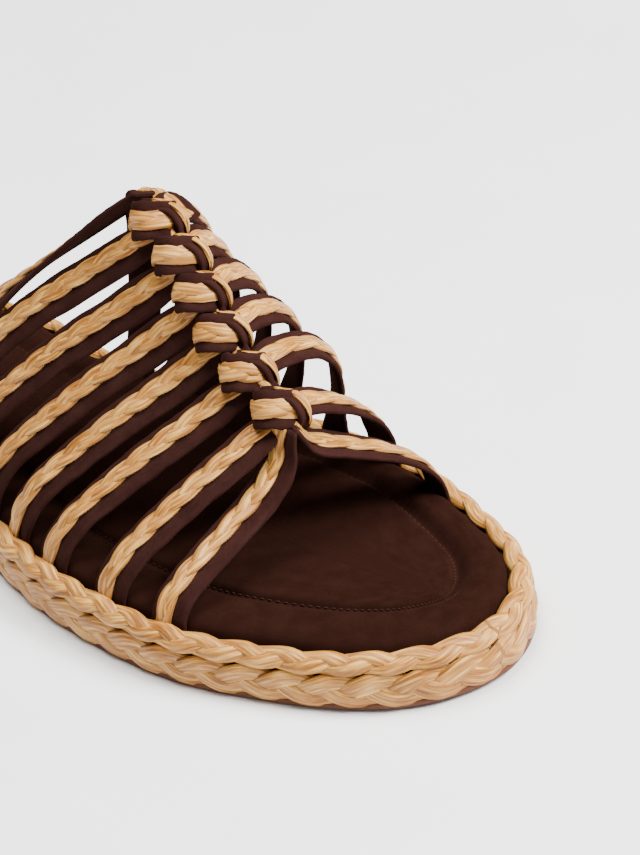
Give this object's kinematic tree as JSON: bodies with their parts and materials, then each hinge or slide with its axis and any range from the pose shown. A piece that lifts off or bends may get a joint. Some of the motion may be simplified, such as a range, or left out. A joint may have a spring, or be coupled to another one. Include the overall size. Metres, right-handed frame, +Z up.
{
  "type": "flat sandal",
  "caption": "Flat slide sandal with satin and raffia straps knotted over the instep, a padded insole and a sole edged in raffia braid.",
  "frame": {"origin": "on the floor, under the middle of the sandal's bounding box", "axes": "+Z up, +Y from toe to heel along the sole, +X towards the inner (big toe) side of the right foot"},
  "size_m": [0.0978, 0.2578, 0.0996],
  "materials": {
    "outsole": "smooth leather sheet with a cut, matte edge",
    "raffia": "plaited raffia, fibrous, with a soft sheen along the strands",
    "satin": "padded satin strap with a soft sheen",
    "insole": "satin over foam with a soft sheen"
  },
  "bodies": {
    "root": {"outsole": "outsole", "midsole_braids": "raffia", "insole": "insole", "upper_straps": "satin"}
  },
  "joints": []
}
